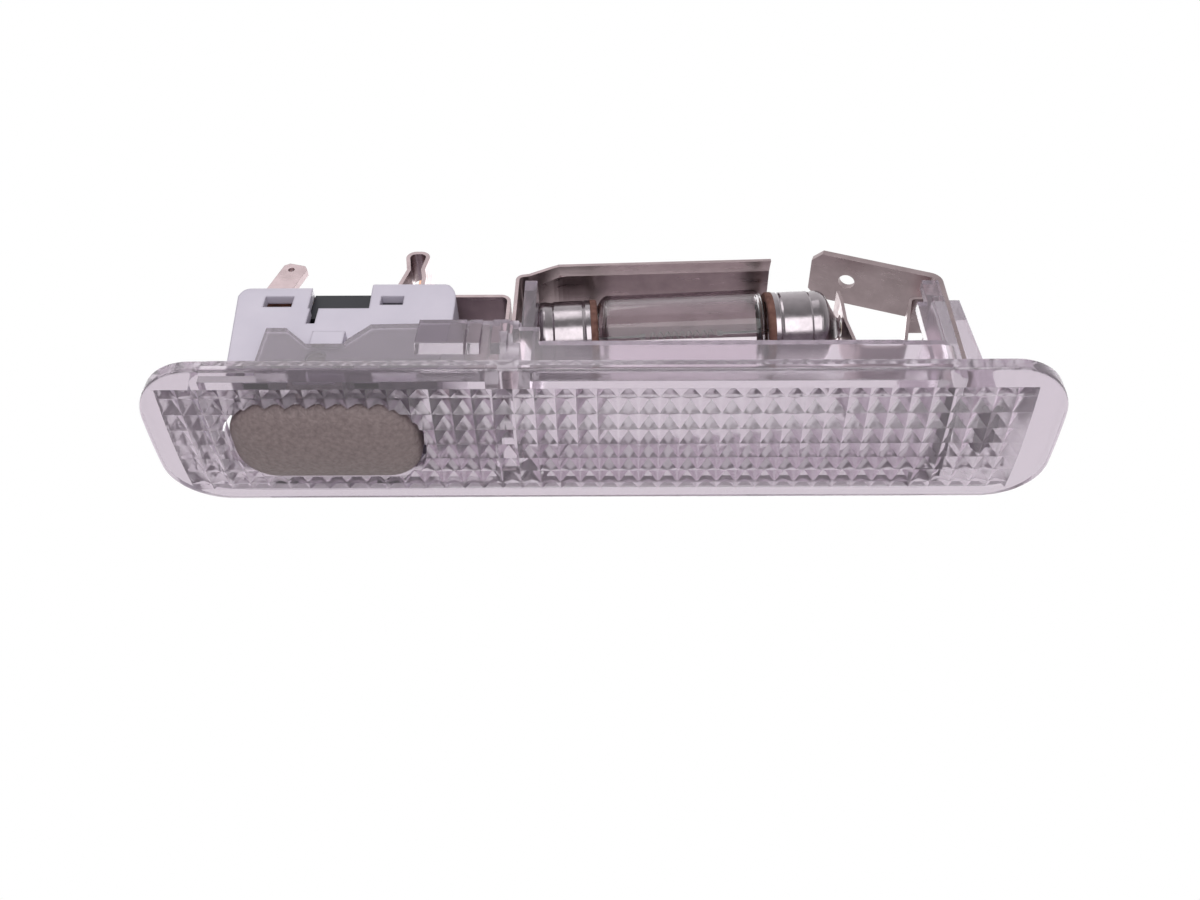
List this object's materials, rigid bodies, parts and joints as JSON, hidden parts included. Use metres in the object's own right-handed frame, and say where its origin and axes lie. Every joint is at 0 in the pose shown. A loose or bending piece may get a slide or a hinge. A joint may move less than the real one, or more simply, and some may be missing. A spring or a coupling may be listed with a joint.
{
  "type": "car dome light",
  "caption": "Slim interior car dome light: clear prismatic lens moulding, rocker switch in a white housing, folded metal contacts, reflector and tubular festoon bulb.",
  "frame": {"origin": "centre of the lens rim in plan, on the plane of the rim's back face that seats on the roof trim", "axes": "+X along the lamp from the switch end to the supply terminal, +Y across it, +Z from the lens face up into the roof"},
  "size_m": [0.0926, 0.0188, 0.0287],
  "materials": {
    "clear_lens": "clear, polished face, prismatic back",
    "soft_touch": "fine leather grain",
    "white_nylon": "satin",
    "dark_plastic": "satin",
    "copper_strip": "bright copper alloy",
    "plated_sheet": "rolled, plated",
    "spring_wire": "drawn wire",
    "bulb_glass": "clear",
    "bulb_cap": "bright nickel plate",
    "cap_cement": "matt",
    "filament_wire": "drawn wire",
    "solder": "cast, dull"
  },
  "bodies": {
    "lamp": {"lens_body": "clear_lens", "switch_housing": "white_nylon", "ground_terminal": "plated_sheet", "ground_contact": "copper_strip", "door_terminal": "plated_sheet", "door_contact": "copper_strip", "reflector": "plated_sheet", "supply_terminal": "plated_sheet", "bulb_spring": "plated_sheet", "bulb_glass": "bulb_glass", "bulb_cap_left": "bulb_cap", "bulb_cap_right": "bulb_cap", "bulb_cement_left": "cap_cement", "bulb_cement_right": "cap_cement", "bulb_filament": "filament_wire", "filament_lead_left": "filament_wire", "filament_lead_right": "filament_wire", "cap_solder_left": "solder", "cap_solder_right": "solder"},
    "rocker": {"rocker_button": "soft_touch"},
    "slide": {"contact_slide": "dark_plastic", "moving_contact": "copper_strip", "detent_plunger": "white_nylon", "detent_spring": "spring_wire"}
  },
  "joints": [
    {"name": "rocker_tilt", "type": "hinge", "parent": "lamp", "child": "rocker", "pos_m": [-0.0286, 0, 0.0025], "axis": [0, 1, 0], "range_deg": [-8.23, 8.23]},
    {"name": "slide_shift", "type": "slide", "parent": "lamp", "child": "slide", "axis": [1, 0, 0], "range_m": [-0.00145, 0.00145]}
  ],
  "couplings": [
    {"joint": "rocker_tilt", "follows": "slide_shift", "rad_per_m": 99.01}
  ]
}
